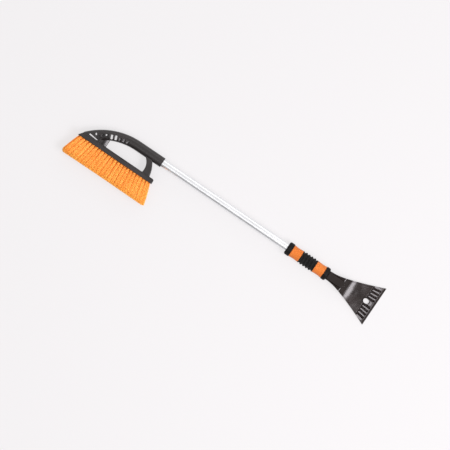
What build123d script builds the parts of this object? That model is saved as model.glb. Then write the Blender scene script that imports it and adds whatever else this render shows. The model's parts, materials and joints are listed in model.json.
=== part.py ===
from build123d import *

import os
from math import atan, atan2, cos, degrees, radians, sin

# A snow brush with an ice scraper on a tube shaft, lying on its side, in millimetres.
#
# The shaft runs along X, from the brush at -X to the scraper at +X. The bristles point along -Y,
# and the object rests on the plane Z = 0. The origin is the middle of its footprint.
# Stations along the shaft are measured from the mouth of the brush's socket, and heights across
# it from the shaft's axis.

# ---- Driving dimensions ----

# Shaft tube
TUBE_R = 11.0
TUBE_WALL = 1.0
TUBE_FROM, TUBE_TO = -55.0, 511.0
FIT = 0.05  # radial clearance between the tube and what slides over it or into it

# Brush block: a round handle that bends down to the bar which holds the tufts
SOCKET_R = 13.25
SOCKET_DEPTH = 56.0
STRAIGHT = 76.0
BEND_R = 169.75  # at the middle of the handle
BEND_TURN = 50.0
BAR_LEFT, BAR_RIGHT = -220.5, 6.0
BAR_SLOPE = 10.0  # how far the sloping left end reaches in
BAR_TOP, BAR_FOOT = -48.7, -61.8
BAR_HALF = 17.75  # the bar's half thickness, which is also how high the shaft's axis lies
BAR_CORNER = 3.0
BAR_EDGE = 1.2
LINE_DEEP, LINE_WIDE, LINE_DOWN = 0.8, 1.2, 2.6  # shadow line along both of the bar's faces
STRUT_HALF, STRUT_EDGE = 11.5, 1.5
MOUTH_EDGE = 0.8
RAMP_TOP, RAMP_FOOT = 9.0, -11.0  # heights of the scooped web's two ends
RAMP_FROM, RAMP_TO = -164.0, -144.5

# Cells that hollow out the bend, spaced by an angle about the bend's centre
CELL_FIRST, CELL_PITCH = 9.8, 3.72
SCOOP_WIDE, SCOOP_TALL, SCOOP_R, SCOOP_TILT = 5.2, 9.0, 165.0, 20.0  # shallow, with a tilted floor
SCOOP_FLOORS = (9.6, 9.2, 8.8)  # half thickness left under each scoop
SCOOP_LEANS = (32, 22, 10)  # how far each scoop leans towards the shaft
CELL_WIDE, CELL_TALL, CELL_R, CELL_ROUND = 6.4, 12.0, 166.4, 2.0
CELL_FLOORS = (0, 0, 5.5, 5.5)  # half thickness left in each cell, and 0 goes through
PEEPS = ((169.9, 29.6, 4.6, 4.4), (172.3, 38.3, 4.5, 6.5))  # radius, angle, width and height
SLOT = ((-197.0, -41.7), (-198.5, -45.5), (-173.0, -47.2), (-171.0, -45.4))  # goes through
POCKET = ((-181.5, -40.5), (-168.0, -43.5), (-168.0, -34.5), (-174.0, -31.0))
POCKET_FLOOR, POCKET_ROUND = 6.0, 1.5

# Tufts: four rows, set in drilled holes and fanning out from the bar
PITCH = 9.73
TUFTS = 23
TUFT_MIDDLE = -107.75
ROWS = 4
ROW_PITCH, ROW_PITCH_AT_TIP = 7.8, 8.7
FAN = 1.16  # pitch at the tips over pitch at the roots
TUFT_ROOT_R, TUFT_TIP_R = 2.6, 4.1
TUFT_LONG = 57.6
HOLE_R, HOLE_DEPTH = 2.7, 8.5
STAPLE_WIDE, STAPLE_THICK, STAPLE_TALL = 5.2, 0.4, 1.6

# Grip: two collars, two smooth bands and a ribbed sleeve between them
COLLAR_R = BAR_HALF
GRIP_FROM = 386.5
FRONT_COLLAR, BAND, SLEEVE, REAR_COLLAR = 14.0, 28.0, 44.0, 12.0
COLLAR_ROUND, COLLAR_EDGE = 4.5, 1.2
BAND_R, BAND_WAIST, BAND_EDGE = 16.6, 0.9, 1.0
SLEEVE_R, LAND_R, LAND = 14.6, 16.4, 3.0
RIBS, RIB_PITCH, RIB_HALF, RIB_HEIGHT = 4, 8.6, 2.9, 3.0

# Scraper
NECK_HALF = 12.2
MIDDLE_HALF, WIDE_HALF = 20.3, 36.6  # half width a third and two thirds of the way along
EDGE_HALF = 56.0
EDGE_FLARE = 0.43
SCRAPER_TO = 658.5
NECK_TOP, NECK_FOOT = 4.5, -9.0
BEND_FROM, BEND_TO = 556.0, 592.0
BEND_PULL = (0.75, 2.3)  # the bend starts sharply and levels out gently
BLADE_THICK = 4.0
EDGE_LAND, BEVEL = 0.8, 5.5
TONGUE_HALF, TONGUE_TOP, TONGUE_TO, TONGUE_NOSE = 9.5, 8.0, 558.0, 8.5
RIM_WIDE, RIM_HIGH = 2.6, 1.2
TEETH_FROM, TEETH_TO = 628.3, 651.8
TOOTH_FOCUS = 395.0  # the teeth and the grooves between them fan out from this station
TOOTH_PITCH = 9.7
GROOVES = 4  # on each side of the hanging hole
GROOVE_WIDE, GROOVE_DEEP, GROOVE_ROUND = 4.8, 2.6, 2.2
CHANNEL_WIDE, CHANNEL_HALF = 2.6, 40.0  # the channel that joins the grooves' ends
TOOTH_WIDE, TOOTH_HIGH, TOOTH_ROUND = 4.6, 1.7, 0.8  # height at the middle of a tooth
TOOTH_TILT = 8.5  # each tooth's top runs down towards the edge, against the blade's face
TOOTH_ROOT = 2.0  # how deep the teeth are rooted in the blade
PAD_WIDE, MARGIN_WIDE = 13.0, 6.6  # the teeth at the hanging hole and along the blade's sides
HANG_AT, HANG_LONG, HANG_WIDE, HANG_RIM = 632.5, 16.0, 12.4, 2.4
SPIGOT_LONG, SPIGOT_WALL = 58.0, 2.5

# Screws
SCREW_R, PILOT_R, HEAD_R, HEAD_TALL, HEAD_GAP = 1.45, 1.5, 3.4, 2.0, 0.2
BOSS_R, BOSS_FOOT = 5.5, -15.2
SOCKET_SCREW_AT = -20.0
SCREW_REACH = -6.5  # height at which the screws' points end
COLLAR_SEAT = -14.4

# ---- Derived places ----

SCRAPER_FROM = GRIP_FROM + FRONT_COLLAR + 2 * BAND + SLEEVE + REAR_COLLAR
SCRAPER_SCREW_AT = SCRAPER_FROM - REAR_COLLAR / 2
LAST_TUFT = (TUFTS - 1) / 2 * PITCH  # from the middle tuft to the last one, at the roots
LAST_TILT = atan2(LAST_TUFT * (FAN - 1), TUFT_LONG)
LEFT_END = TUFT_MIDDLE - LAST_TUFT * FAN - TUFT_TIP_R * cos(LAST_TILT)
LOW_END = BAR_FOOT - TUFT_LONG - TUFT_TIP_R * sin(LAST_TILT)
MOUTH_X = -(LEFT_END + SCRAPER_TO) / 2
SHAFT_Y = -(LOW_END + EDGE_HALF) / 2
SHAFT_Z = BAR_HALF
SHAFT_AXIS = Axis((0, SHAFT_Y, SHAFT_Z), (1, 0, 0))


def flat(up=0.0):
    """A sketch plane parallel to the resting surface, this far above the shaft's axis."""
    return Plane((MOUTH_X, SHAFT_Y, SHAFT_Z + up))


def across(station):
    """A sketch plane across the shaft, whose x is the object's Y and whose y is its Z."""
    return Plane((MOUTH_X + station, SHAFT_Y, SHAFT_Z), x_dir=(0, 1, 0), z_dir=(1, 0, 0))


def upright():
    """A sketch plane along the shaft, whose x is the station and whose y is the height."""
    return Plane((MOUTH_X, SHAFT_Y, SHAFT_Z), x_dir=(1, 0, 0), z_dir=(0, -1, 0))


def on_bend(radius, angle):
    """A point of a flat plane, at this radius and angle about the bend's centre."""
    turn = radians(angle)
    return (-STRAIGHT - radius * sin(turn), -BEND_R + radius * cos(turn))


def tuft_planes(row):
    """A plane for each tuft of a row: its origin at the bar's foot, its Z along the bristles."""
    count = TUFTS - row % 2
    level = row - (ROWS - 1) / 2
    planes = []
    for number in range(count):
        offset = (number - (count - 1) / 2) * PITCH
        root = Vector(TUFT_MIDDLE + offset, BAR_FOOT, level * ROW_PITCH)
        tip = Vector(TUFT_MIDDLE + offset * FAN, BAR_FOOT - TUFT_LONG, level * ROW_PITCH_AT_TIP)
        place = root + Vector(MOUTH_X, SHAFT_Y, SHAFT_Z)
        planes.append(Plane(place, x_dir=(0, 0, 1), z_dir=(tip - root).normalized()))
    return planes


def tuft_length(plane):
    """Length of the tuft on this plane, so that all tufts end on one straight line."""
    return TUFT_LONG / -plane.z_dir.Y


ALL_TUFTS = [plane for row in range(ROWS) for plane in tuft_planes(row)]


def finish(builder, name):
    """Label a finished piece and write its file."""
    builder.part.label = name
    export_step(builder.part, f"parts/{name}.step")


os.makedirs("parts", exist_ok=True)

# ---- Brush block ----

with BuildPart() as brush_block:
    with BuildLine(flat()) as handle_line:
        Line((0, 0), (-STRAIGHT, 0))
        CenterArc((-STRAIGHT, -BEND_R), BEND_R, 90, BEND_TURN)
    with BuildSketch(across(0)):
        Circle(SOCKET_R)
    sweep(path=handle_line.line)

    # The strut that carries the bar's right end
    with BuildSketch(flat()):
        with BuildLine():
            ThreePointArc((-48, -10), (-33, -27), (-31, BAR_TOP - 1))
            Line((-31, BAR_TOP - 1), (-8.5, BAR_TOP - 1))
            ThreePointArc((-8.5, BAR_TOP - 1), (-14.5, -29), (-26, -10))
            Line((-26, -10), (-48, -10))
        make_face()
    strut = extrude(amount=STRUT_HALF, both=True, mode=Mode.PRIVATE)
    rims = strut.faces().filter_by(Axis.Z).edges().filter_by(
        lambda e: SHAFT_Y + BAR_TOP < e.center().Y < SHAFT_Y - SOCKET_R
    )
    add(strut.chamfer(STRUT_EDGE, None, rims))

    # The scooped web that closes the corner between the bend and the bar
    with BuildSketch(upright()):
        with BuildLine():
            heel = RAMP_FROM - 24
            ThreePointArc(
                (RAMP_FROM, RAMP_TOP),
                (RAMP_FROM + 0.36 * (RAMP_TO - RAMP_FROM), RAMP_FOOT + 0.36 * (RAMP_TOP - RAMP_FOOT)),
                (RAMP_TO, RAMP_FOOT),
            )
            Polyline((RAMP_TO, RAMP_FOOT), (heel, RAMP_FOOT), (heel, RAMP_TOP), (RAMP_FROM, RAMP_TOP))
        make_face()
    web = extrude(amount=-BAR_TOP + 1, mode=Mode.PRIVATE)
    with BuildSketch(flat(-SOCKET_R), mode=Mode.PRIVATE) as corner:
        with BuildLine():
            low, high = on_bend(BEND_R, 44), on_bend(BEND_R, 24)
            ThreePointArc(low, on_bend(BEND_R, 34), high)
            Polyline(high, (RAMP_TO, high[1]), (RAMP_TO, BAR_TOP - 1), (low[0], BAR_TOP - 1), low)
        make_face()
    add(web.intersect(extrude(corner.sketch, amount=2 * SOCKET_R, mode=Mode.PRIVATE)))

    # Whatever the bend carries past the bar's sloping end and foot is cut away
    with BuildSketch(flat()):
        with BuildLine():
            Polyline(
                (BAR_LEFT + BAR_SLOPE, BAR_TOP),
                (BAR_LEFT, BAR_FOOT),
                (BAR_LEFT + BAR_SLOPE, BAR_FOOT - 20),
                (BAR_LEFT - 30, BAR_FOOT - 20),
                (BAR_LEFT - 30, BAR_TOP + 6),
                close=True,
            )
        make_face()
        with Locations((TUFT_MIDDLE, BAR_FOOT - 10)):
            Rectangle(BAR_RIGHT - BAR_LEFT, 20)
    extrude(amount=SOCKET_R + 1, both=True, mode=Mode.SUBTRACT)

    # The bar
    with BuildSketch(flat()):
        with BuildLine():
            Polyline(
                (BAR_LEFT + BAR_SLOPE, BAR_TOP),
                (BAR_RIGHT - BAR_CORNER, BAR_TOP),
                (BAR_RIGHT, BAR_TOP - BAR_CORNER),
                (BAR_RIGHT, BAR_FOOT),
                (BAR_LEFT, BAR_FOOT),
                close=True,
            )
        make_face()
    extrude(amount=BAR_HALF, both=True)
    long_edges = brush_block.edges().filter_by(Axis.X).filter_by(
        lambda e: abs(abs(e.center().Z - SHAFT_Z) - BAR_HALF) < 0.01
    )
    chamfer(long_edges, BAR_EDGE)
    for up in (BAR_HALF - LINE_DEEP / 2, -BAR_HALF + LINE_DEEP / 2):
        with BuildSketch(flat(up)):
            with Locations((TUFT_MIDDLE, BAR_TOP - LINE_DOWN)):
                Rectangle(BAR_RIGHT - BAR_LEFT + 2, LINE_WIDE)
        extrude(amount=LINE_DEEP / 2, both=True, mode=Mode.SUBTRACT)

    # Cells of the bend, from both faces
    cells = [
        (SCOOP_R, SCOOP_WIDE, SCOOP_TALL, floor, SCOOP_TILT, lean)
        for floor, lean in zip(SCOOP_FLOORS, SCOOP_LEANS)
    ]
    cells += [(CELL_R, CELL_WIDE, CELL_TALL, floor, 0, 0) for floor in CELL_FLOORS]
    for number, (radius, wide, tall, floor, tilt, lean) in enumerate(cells):
        angle = CELL_FIRST + number * CELL_PITCH
        x, y = on_bend(radius, angle)
        turn, slope = radians(angle - lean), radians(tilt)
        along = Vector(cos(turn), sin(turn), 0)
        for side in (1, -1):
            up = Vector(0, 0, side)
            place = Vector(MOUTH_X + x, SHAFT_Y + y, SHAFT_Z + side * floor)
            out = up * cos(slope) + along * sin(slope)
            with BuildSketch(Plane(place, x_dir=along * cos(slope) - up * sin(slope), z_dir=out)):
                RectangleRounded(wide, tall, CELL_ROUND)
            extrude(amount=SOCKET_R, mode=Mode.SUBTRACT)
    with BuildSketch(flat()):
        for radius, angle, wide, tall in PEEPS:
            with Locations(on_bend(radius, angle)):
                RectangleRounded(wide, tall, CELL_ROUND, rotation=angle)
        with BuildLine():
            Polyline(*SLOT, close=True)
        make_face()
    extrude(amount=SOCKET_R + 1, both=True, mode=Mode.SUBTRACT)
    for side in (1, -1):
        with BuildSketch(flat(side * POCKET_FLOOR)) as pocket:
            with BuildLine():
                Polyline(*POCKET, close=True)
            make_face()
            fillet(pocket.vertices(), POCKET_ROUND)
        extrude(amount=side * SOCKET_R, mode=Mode.SUBTRACT)

    # Bore for the tube, and the boss for the screw that holds it
    with BuildSketch(across(-SOCKET_DEPTH)):
        Circle(TUBE_R + FIT)
    extrude(amount=SOCKET_DEPTH + 1, mode=Mode.SUBTRACT)
    mouth = brush_block.edges().filter_by(GeomType.CIRCLE).filter_by(
        lambda e: abs(e.center().X - MOUTH_X) < 0.01 and e.radius > TUBE_R + 1
    )
    chamfer(mouth, MOUTH_EDGE)
    with BuildSketch(flat(BOSS_FOOT)):
        with Locations((SOCKET_SCREW_AT, 0)):
            Circle(BOSS_R)
            Circle(PILOT_R, mode=Mode.SUBTRACT)
    extrude(amount=-BOSS_FOOT - TUBE_R - FIT)
    with BuildSketch(flat(BOSS_FOOT)):
        with Locations((SOCKET_SCREW_AT, 0)):
            Circle(HEAD_R + HEAD_GAP)
    extrude(amount=HEAD_TALL, mode=Mode.SUBTRACT)
    with BuildSketch(flat(BOSS_FOOT)):
        with Locations((SOCKET_SCREW_AT, 0)):
            Circle(PILOT_R)
    extrude(amount=-BOSS_FOOT, mode=Mode.SUBTRACT)

    # A drilled hole for each tuft
    with BuildSketch(*[plane.offset(-HOLE_DEPTH) for plane in ALL_TUFTS]):
        Circle(HOLE_R)
    extrude(amount=HOLE_DEPTH + 2, mode=Mode.SUBTRACT)
finish(brush_block, "brush_block")

# ---- Tufts and their staples ----

for row in range(ROWS):
    with BuildPart() as tufts:
        for plane in tuft_planes(row):
            with BuildSketch(plane.offset(STAPLE_TALL - HOLE_DEPTH)):
                Circle(TUFT_ROOT_R)
            with BuildSketch(plane):
                Circle(TUFT_ROOT_R)
            loft()
            with BuildSketch(plane):
                Circle(TUFT_ROOT_R)
            with BuildSketch(plane.offset(tuft_length(plane))):
                Circle(TUFT_TIP_R)
            loft()
    finish(tufts, f"tufts_row_{row + 1}")

with BuildPart() as tuft_staples:
    with BuildSketch(*[plane.offset(-HOLE_DEPTH) for plane in ALL_TUFTS]):
        Rectangle(STAPLE_THICK, STAPLE_WIDE)
    extrude(amount=STAPLE_TALL)
finish(tuft_staples, "tuft_staples")

# ---- Shaft tube ----

with BuildPart() as shaft_tube:
    with BuildSketch(across(TUBE_FROM)):
        Circle(TUBE_R)
        Circle(TUBE_R - TUBE_WALL, mode=Mode.SUBTRACT)
    extrude(amount=TUBE_TO - TUBE_FROM)
    with BuildSketch(flat()):
        with Locations((SOCKET_SCREW_AT, 0), (SCRAPER_SCREW_AT, 0)):
            Circle(PILOT_R)
    extrude(amount=-TUBE_R - 1, mode=Mode.SUBTRACT)
finish(shaft_tube, "shaft_tube")

# ---- Grip ----


def collar(start, length, round_at, screw_at=None):
    """A collar with a large round on one end, and a countersunk seat if a screw goes through it."""
    with BuildPart() as ring:
        with BuildSketch(upright()) as profile:
            with Locations((start + length / 2, (TUBE_R + FIT + COLLAR_R) / 2)):
                Rectangle(length, COLLAR_R - TUBE_R - FIT)
            corners = profile.vertices().group_by(Axis.Y)[-1].sort_by(Axis.X)
            fillet(corners[round_at], COLLAR_ROUND)
            corners = profile.vertices().group_by(Axis.Y)[-1].sort_by(Axis.X)
            fillet(corners[-1 - round_at], COLLAR_EDGE)
        revolve(axis=SHAFT_AXIS)
        if screw_at is not None:
            for radius, top in ((HEAD_R + HEAD_GAP, COLLAR_SEAT), (PILOT_R, -TUBE_R + 1)):
                with BuildSketch(flat(-COLLAR_R)):
                    with Locations((screw_at, 0)):
                        Circle(radius)
                extrude(amount=COLLAR_R + top, mode=Mode.SUBTRACT)
    return ring


def band(start):
    """A smooth foam band with a slight waist, from this station."""
    with BuildPart() as ring:
        with BuildSketch(upright()):
            with BuildLine():
                inner = TUBE_R + FIT
                end = start + BAND
                ThreePointArc(
                    (start + BAND_EDGE, BAND_R), (start + BAND / 2, BAND_R - BAND_WAIST),
                    (end - BAND_EDGE, BAND_R),
                )
                Line((end - BAND_EDGE, BAND_R), (end, BAND_R - BAND_EDGE))
                Polyline((end, BAND_R - BAND_EDGE), (end, inner), (start, inner))
                Line((start, inner), (start, BAND_R - BAND_EDGE))
                Line((start, BAND_R - BAND_EDGE), (start + BAND_EDGE, BAND_R))
            make_face()
        revolve(axis=SHAFT_AXIS)
    return ring


front_collar_from = GRIP_FROM
front_band_from = front_collar_from + FRONT_COLLAR
sleeve_from = front_band_from + BAND
rear_band_from = sleeve_from + SLEEVE
rear_collar_from = rear_band_from + BAND

front_collar = collar(front_collar_from, FRONT_COLLAR, 0)
finish(front_collar, "front_collar")
front_band = band(front_band_from)
finish(front_band, "front_band")
rear_band = band(rear_band_from)
finish(rear_band, "rear_band")

with BuildPart() as ribbed_sleeve:
    with BuildSketch(upright()):
        with BuildLine():
            sleeve_to = sleeve_from + SLEEVE
            at = (sleeve_from + LAND, SLEEVE_R)
            Polyline(
                (sleeve_from + LAND, LAND_R), (sleeve_from, LAND_R), (sleeve_from, TUBE_R + FIT),
                (sleeve_to, TUBE_R + FIT), (sleeve_to, LAND_R), (sleeve_to - LAND, LAND_R),
            )
            Line((sleeve_from + LAND, LAND_R), at)
            for number in range(RIBS):
                middle = sleeve_from + SLEEVE / 2 + (number - (RIBS - 1) / 2) * RIB_PITCH
                Line(at, (middle - RIB_HALF, SLEEVE_R))
                ThreePointArc(
                    (middle - RIB_HALF, SLEEVE_R), (middle, SLEEVE_R + RIB_HEIGHT),
                    (middle + RIB_HALF, SLEEVE_R),
                )
                at = (middle + RIB_HALF, SLEEVE_R)
            Polyline(at, (sleeve_to - LAND, SLEEVE_R), (sleeve_to - LAND, LAND_R))
        make_face()
    revolve(axis=SHAFT_AXIS)
finish(ribbed_sleeve, "ribbed_sleeve")

rear_collar = collar(rear_collar_from, REAR_COLLAR, -1, SCRAPER_SCREW_AT)
finish(rear_collar, "rear_collar")

# ---- Scraper ----

BLADE_SLOPE = (NECK_FOOT + SHAFT_Z) / (SCRAPER_TO - SCRAPER_FROM)


def blade_foot(station):
    """Height of the blade's underside, which reaches the resting plane at its edge."""
    return NECK_FOOT - BLADE_SLOPE * (station - SCRAPER_FROM)


def blade_top(station):
    """Height of the blade's flat upper face."""
    return blade_foot(station) + BLADE_THICK


def blade_outline(inset=0.0):
    """The scraper seen from above, from the neck to the edge, drawn this far inside its sides."""
    third = (SCRAPER_TO - SCRAPER_FROM) / 3
    halves = [half - inset for half in (NECK_HALF, MIDDLE_HALF, WIDE_HALF, EDGE_HALF)]
    for side in (1, -1):
        Spline(
            *[(SCRAPER_FROM + i * third, side * half) for i, half in enumerate(halves)],
            tangents=[(1, 0), (1, side * EDGE_FLARE)],
        )
    Line((SCRAPER_FROM, halves[0]), (SCRAPER_FROM, -halves[0]))
    Line((SCRAPER_TO, halves[-1]), (SCRAPER_TO, -halves[-1]))


def blade_profile(raised=0.0):
    """The scraper seen from the side, with its upper face raised by this much."""
    drop_from = (BEND_FROM, NECK_TOP + raised)
    drop_to = (BEND_TO, blade_top(BEND_TO) + raised)
    Line((SCRAPER_FROM, NECK_TOP + raised), drop_from)
    Spline(drop_from, drop_to, tangents=[(1, 0), (1, -BLADE_SLOPE)], tangent_scalars=BEND_PULL)
    bevel_from = (SCRAPER_TO - BEVEL, blade_top(SCRAPER_TO - BEVEL) + raised)
    Polyline(
        drop_to,
        bevel_from,
        (SCRAPER_TO, -SHAFT_Z + EDGE_LAND + raised),
        (SCRAPER_TO, -SHAFT_Z),
        (SCRAPER_FROM, NECK_FOOT),
        (SCRAPER_FROM, NECK_TOP + raised),
    )


def blade_block(inset=0.0):
    """The whole height of the scraper's outline, for cutting things to it."""
    with BuildPart() as block:
        with BuildSketch(flat(-SHAFT_Z - 1)):
            with BuildLine():
                blade_outline(inset)
            make_face()
        extrude(amount=2 * SHAFT_Z + 2)
    return block.part


whole_blade = blade_block()
between_rims = blade_block(RIM_WIDE)

with BuildPart() as side_rims:
    with BuildSketch(upright()):
        with BuildLine():
            blade_profile(RIM_HIGH)
        make_face()
    extrude(amount=EDGE_HALF + 1, both=True)
    add(whole_blade, mode=Mode.INTERSECT)
    add(between_rims, mode=Mode.SUBTRACT)
    with BuildSketch(flat()):
        with Locations((SCRAPER_TO, 0)):
            Rectangle(2 * (SCRAPER_TO - TEETH_FROM), 2 * EDGE_HALF + 2)
    extrude(amount=SHAFT_Z + 1, both=True, mode=Mode.SUBTRACT)


def blade_plane(up=0.0, tilt=0.0):
    """A plane in the middle of the teeth, this far above the blade's upper face, and turned down
    towards the edge by this tilt against it."""
    middle = (TEETH_FROM + TEETH_TO) / 2
    place = flat(blade_top(middle)).offset(up).origin + Vector(middle, 0, 0)
    slope = atan(BLADE_SLOPE) + radians(tilt)
    return Plane(place, x_dir=(cos(slope), 0, -sin(slope)), z_dir=(sin(slope), 0, cos(slope)))


def fan(pitches, width, margin=0.0):
    """A slot of the fan, this many tooth pitches to the side of the blade's middle."""
    reach = (TEETH_FROM + TEETH_TO) / 2 - TOOTH_FOCUS
    angle = atan2(pitches * TOOTH_PITCH, reach)
    long = (TEETH_TO - TEETH_FROM - 2 * margin) / cos(angle)
    with Locations((0, pitches * TOOTH_PITCH)):
        SlotOverall(long, width, rotation=degrees(angle))


with BuildPart() as teeth:
    for side in (1, -1):
        for number in range(1, GROOVES):
            with BuildSketch(blade_plane(TOOTH_HIGH, TOOTH_TILT)):
                fan(side * (number + 0.5), TOOTH_WIDE, CHANNEL_WIDE / 2)
            extrude(amount=-TOOTH_HIGH - TOOTH_ROOT)
        with BuildSketch(blade_plane(TOOTH_HIGH, TOOTH_TILT)):
            fan(side * (GROOVES + 0.62), MARGIN_WIDE, CHANNEL_WIDE / 2)
        extrude(amount=-TOOTH_HIGH - TOOTH_ROOT)
    with BuildSketch(blade_plane(TOOTH_HIGH, TOOTH_TILT)):
        fan(0, PAD_WIDE, CHANNEL_WIDE / 2)
    extrude(amount=-TOOTH_HIGH - TOOTH_ROOT)
    crowns = teeth.faces().filter_by(lambda f: f.normal_at().Z > 0.9)
    fillet(crowns.edges(), TOOTH_ROUND)
    add(whole_blade, mode=Mode.INTERSECT)

with BuildPart() as groove_cutter:
    with BuildSketch(blade_plane(-GROOVE_DEEP)):
        for number in range(1, GROOVES + 1):
            for side in (1, -1):
                fan(side * number, GROOVE_WIDE)
    extrude(amount=GROOVE_DEEP + 1)
    floors = groove_cutter.faces().filter_by(lambda f: f.normal_at().Z < -0.9)
    fillet(floors.edges(), GROOVE_ROUND)
    with BuildSketch(blade_plane(-GROOVE_DEEP / 2)):
        with Locations((-(TEETH_TO - TEETH_FROM - CHANNEL_WIDE) / 2, 0)):
            SlotOverall(2 * CHANNEL_HALF, CHANNEL_WIDE, rotation=90)
    extrude(amount=GROOVE_DEEP)

with BuildPart() as scraper:
    with BuildSketch(upright()):
        with BuildLine():
            blade_profile()
        make_face()
    extrude(amount=EDGE_HALF + 1, both=True)
    add(whole_blade, mode=Mode.INTERSECT)
    add(side_rims.part)
    add(teeth.part)
    add(groove_cutter.part, mode=Mode.SUBTRACT)

    # The raised tongue that runs out of the neck, with its pointed nose
    with BuildSketch(flat()):
        with BuildLine():
            Polyline(
                (SCRAPER_FROM, TONGUE_HALF),
                (TONGUE_TO, TONGUE_HALF),
                (TONGUE_TO + TONGUE_NOSE, 0),
                (TONGUE_TO, -TONGUE_HALF),
                (SCRAPER_FROM, -TONGUE_HALF),
                close=True,
            )
        make_face()
    extrude(amount=TONGUE_TOP)
    tongue_top = scraper.faces().filter_by(Axis.Z).sort_by(Axis.Z)[-1]
    fillet(tongue_top.edges().filter_by(lambda e: e.center().X > MOUTH_X + SCRAPER_FROM + 1), 1.5)

    # Hanging hole, with a raised rim
    with BuildSketch(flat(blade_foot(HANG_AT))):
        with Locations((HANG_AT, 0)):
            SlotOverall(HANG_LONG + 2 * HANG_RIM, HANG_WIDE + 2 * HANG_RIM)
    extrude(amount=BLADE_THICK + RIM_HIGH)
    with BuildSketch(flat(-SHAFT_Z - 1)):
        with Locations((HANG_AT, 0)):
            SlotOverall(HANG_LONG, HANG_WIDE)
    extrude(amount=2 * SHAFT_Z, mode=Mode.SUBTRACT)

    # Spigot that enters the tube
    with BuildSketch(across(SCRAPER_FROM)):
        Circle(TUBE_R - TUBE_WALL - FIT)
    extrude(amount=-SPIGOT_LONG)
    with BuildSketch(across(SCRAPER_FROM - SPIGOT_LONG)):
        Circle(TUBE_R - TUBE_WALL - FIT - SPIGOT_WALL)
    extrude(amount=SPIGOT_LONG, mode=Mode.SUBTRACT)
    with BuildSketch(flat()):
        with Locations((SCRAPER_SCREW_AT, 0)):
            Circle(PILOT_R)
    extrude(amount=-TUBE_R, mode=Mode.SUBTRACT)
finish(scraper, "scraper")

# ---- Screws ----


def screw(station, seat):
    """A self-tapping screw that points up, whose head rests under this height."""
    with BuildPart() as piece:
        with BuildSketch(flat(seat - HEAD_TALL)):
            with Locations((station, 0)):
                Circle(HEAD_R)
        extrude(amount=HEAD_TALL)
        fillet(piece.edges().filter_by(GeomType.CIRCLE).sort_by(Axis.Z)[0], HEAD_TALL / 2)
        with BuildSketch(flat(seat)):
            with Locations((station, 0)):
                Circle(SCREW_R)
        extrude(amount=SCREW_REACH - seat)
        chamfer(piece.edges().filter_by(GeomType.CIRCLE).sort_by(Axis.Z)[-1], SCREW_R / 2)
        with BuildSketch(flat(seat - HEAD_TALL)):
            with Locations((station, 0)):
                Rectangle(HEAD_R, HEAD_TALL / 4)
                Rectangle(HEAD_TALL / 4, HEAD_R)
        extrude(amount=HEAD_TALL / 2, mode=Mode.SUBTRACT)
    return piece


finish(screw(SOCKET_SCREW_AT, BOSS_FOOT + HEAD_TALL), "socket_screw")
finish(screw(SCRAPER_SCREW_AT, COLLAR_SEAT), "scraper_screw")
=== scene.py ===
# %% [markdown]
# # A snow brush with an ice scraper
#
# The tool lies on its side on a pale floor: a black D-shaped handle over a bar of orange
# bristles, a bare aluminium tube, a banded foam grip and a flared black scraper. Its shape and
# size were settled in CAD, so this script loads that model as a fixed frame and gives it its
# looks. What has a true hard shape stays and gets a finish. What is soft or made of many fine
# strands, the bristles and the foam, is modelled anew in the same place.

# %% Load the frame
import json
from math import cos, pi, radians, sin, tau

import bmesh
import bpy
import numpy as np
from mathutils import Matrix, Vector

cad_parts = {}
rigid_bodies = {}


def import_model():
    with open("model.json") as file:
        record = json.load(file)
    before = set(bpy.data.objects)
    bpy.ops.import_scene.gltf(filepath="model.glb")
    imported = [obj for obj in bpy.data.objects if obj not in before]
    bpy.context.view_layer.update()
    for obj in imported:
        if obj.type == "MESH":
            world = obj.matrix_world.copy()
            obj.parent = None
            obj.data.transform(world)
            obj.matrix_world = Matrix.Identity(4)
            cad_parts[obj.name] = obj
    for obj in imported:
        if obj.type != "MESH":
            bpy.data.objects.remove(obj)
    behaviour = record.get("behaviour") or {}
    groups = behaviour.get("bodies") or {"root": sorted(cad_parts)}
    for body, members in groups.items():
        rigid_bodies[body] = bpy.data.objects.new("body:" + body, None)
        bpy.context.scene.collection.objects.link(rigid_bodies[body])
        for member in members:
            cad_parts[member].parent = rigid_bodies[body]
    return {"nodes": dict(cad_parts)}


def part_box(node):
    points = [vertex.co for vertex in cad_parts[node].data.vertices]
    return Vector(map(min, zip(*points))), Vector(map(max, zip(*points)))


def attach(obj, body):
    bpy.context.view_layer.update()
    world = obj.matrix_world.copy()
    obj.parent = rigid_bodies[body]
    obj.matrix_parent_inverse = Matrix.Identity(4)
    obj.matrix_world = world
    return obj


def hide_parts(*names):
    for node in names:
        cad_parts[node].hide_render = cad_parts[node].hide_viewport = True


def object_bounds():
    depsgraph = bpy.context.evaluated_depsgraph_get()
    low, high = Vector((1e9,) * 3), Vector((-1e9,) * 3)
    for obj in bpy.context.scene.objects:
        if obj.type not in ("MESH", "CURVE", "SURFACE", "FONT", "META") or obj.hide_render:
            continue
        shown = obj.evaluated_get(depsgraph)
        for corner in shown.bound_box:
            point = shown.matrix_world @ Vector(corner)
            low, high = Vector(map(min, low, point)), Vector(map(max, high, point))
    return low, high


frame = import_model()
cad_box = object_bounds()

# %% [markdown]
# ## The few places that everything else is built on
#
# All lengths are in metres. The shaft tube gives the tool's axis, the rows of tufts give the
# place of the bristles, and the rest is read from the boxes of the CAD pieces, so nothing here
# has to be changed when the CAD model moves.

MM = 0.001

tube_low, tube_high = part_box("shaft_tube")
axis_point = (tube_low + tube_high) / 2
tube_radius = (tube_high.y - tube_low.y) / 2
print("shaft axis", [round(v, 4) for v in axis_point], "tube radius", round(tube_radius, 4))


def select_only(piece):
    """Deselect everything, then select this piece and make it the active one."""
    for other in bpy.context.view_layer.objects:
        other.select_set(False)
    piece.select_set(True)
    bpy.context.view_layer.objects.active = piece


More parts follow.
